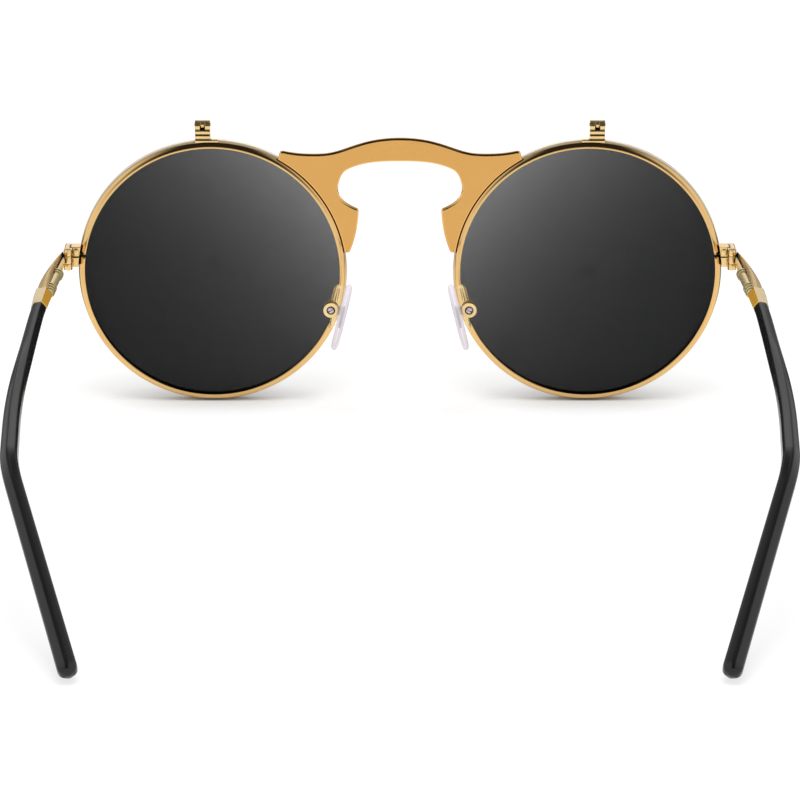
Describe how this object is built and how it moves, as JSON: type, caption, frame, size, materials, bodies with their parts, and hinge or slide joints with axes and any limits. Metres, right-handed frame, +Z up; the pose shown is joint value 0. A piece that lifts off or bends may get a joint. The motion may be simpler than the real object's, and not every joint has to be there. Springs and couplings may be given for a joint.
{
  "type": "flip-up sunglasses",
  "caption": "Round metal eyeglass frame with dark lenses that flip up on top hinges, a keyhole bridge plate, sprung folding temples with plastic sleeves and swivelling nose pads.",
  "frame": {"origin": "on the surface the glasses stand on, under the middle of their box", "axes": "+X to the wearer's right, +Y the way the wearer looks, +Z up from the surface"},
  "size_m": [0.1396, 0.1416, 0.056],
  "materials": {
    "polished_gold": "polished gold plate on copper alloy",
    "satin_gold": "satin gold plate on copper alloy",
    "steel": "plain steel",
    "black_plastic": "moulded gloss black",
    "clear_lens": "clear polycarbonate",
    "dark_lens": "dark grey polycarbonate",
    "soft_pad": "translucent soft silicone"
  },
  "bodies": {
    "front_frame": {"bridge_plate": "satin_gold", "left_base_rim": "polished_gold", "left_clear_lens": "clear_lens", "left_rim_lock_upper": "polished_gold", "left_rim_lock_lower": "polished_gold", "left_rim_lock_screw": "polished_gold", "left_end_piece": "polished_gold", "left_hinge_screw": "polished_gold", "left_nose_pad_arm": "polished_gold", "left_nose_pad_screw": "steel", "left_flip_base_leaf": "polished_gold", "left_flip_pin": "polished_gold", "right_base_rim": "polished_gold", "right_clear_lens": "clear_lens", "right_rim_lock_upper": "polished_gold", "right_rim_lock_lower": "polished_gold", "right_rim_lock_screw": "polished_gold", "right_end_piece": "polished_gold", "right_hinge_screw": "polished_gold", "right_nose_pad_arm": "polished_gold", "right_nose_pad_screw": "steel", "right_flip_base_leaf": "polished_gold", "right_flip_pin": "polished_gold"},
    "left_hinge_slider_body": {"left_hinge_slider": "polished_gold", "left_slider_stop": "steel", "left_hinge_spring": "steel"},
    "left_temple_body": {"left_spring_housing": "polished_gold", "left_housing_plug": "steel", "left_temple_bar": "polished_gold", "left_ferrule": "polished_gold", "left_core_wire": "steel", "left_temple_sleeve": "black_plastic"},
    "left_flip_up_body": {"left_flip_leaf": "polished_gold", "left_flip_rim": "polished_gold", "left_dark_lens": "dark_lens"},
    "left_nose_pad_body": {"left_nose_pad": "soft_pad", "left_nose_pad_insert": "steel"},
    "right_hinge_slider_body": {"right_hinge_slider": "polished_gold", "right_slider_stop": "steel", "right_hinge_spring": "steel"},
    "right_temple_body": {"right_spring_housing": "polished_gold", "right_housing_plug": "steel", "right_temple_bar": "polished_gold", "right_ferrule": "polished_gold", "right_core_wire": "steel", "right_temple_sleeve": "black_plastic"},
    "right_flip_up_body": {"right_flip_leaf": "polished_gold", "right_flip_rim": "polished_gold", "right_dark_lens": "dark_lens"},
    "right_nose_pad_body": {"right_nose_pad": "soft_pad", "right_nose_pad_insert": "steel"}
  },
  "joints": [
    {"name": "left_temple_fold", "type": "hinge", "parent": "front_frame", "child": "left_hinge_slider_body", "pos_m": [-0.0643, 0.06283, 0.02971], "axis": [0, 0.0311, 0.9995], "range_deg": [0, 82]},
    {"name": "left_spring_slide", "type": "slide", "parent": "left_hinge_slider_body", "child": "left_temple_body", "axis": [-0.0936, -0.993, -0.072], "range_m": [0, 0.0012], "stiffness_N_per_m": 3000, "springref_m": -0.0006, "deforming": ["left_hinge_spring"]},
    {"name": "left_flip_up", "type": "hinge", "parent": "front_frame", "child": "left_flip_up_body", "pos_m": [-0.03805, 0.06837, 0.0552], "axis": [1, 0, 0], "range_deg": [0, 110]},
    {"name": "left_pad_swivel", "type": "hinge", "parent": "front_frame", "child": "left_nose_pad_body", "pos_m": [-0.01336, 0.05925, 0.02082], "axis": [0, 0.9995, -0.0311], "range_deg": [-8, 8]},
    {"name": "right_temple_fold", "type": "hinge", "parent": "front_frame", "child": "right_hinge_slider_body", "pos_m": [0.0643, 0.06283, 0.02971], "axis": [0, -0.0311, -0.9995], "range_deg": [0, 74]},
    {"name": "right_spring_slide", "type": "slide", "parent": "right_hinge_slider_body", "child": "right_temple_body", "axis": [0.0936, -0.993, -0.072], "range_m": [0, 0.0012], "stiffness_N_per_m": 3000, "springref_m": -0.0006, "deforming": ["right_hinge_spring"]},
    {"name": "right_flip_up", "type": "hinge", "parent": "front_frame", "child": "right_flip_up_body", "pos_m": [0.03805, 0.06837, 0.0552], "axis": [1, 0, 0], "range_deg": [0, 110]},
    {"name": "right_pad_swivel", "type": "hinge", "parent": "front_frame", "child": "right_nose_pad_body", "pos_m": [0.01336, 0.05925, 0.02082], "axis": [0, 0.9995, -0.0311], "range_deg": [-8, 8]}
  ]
}
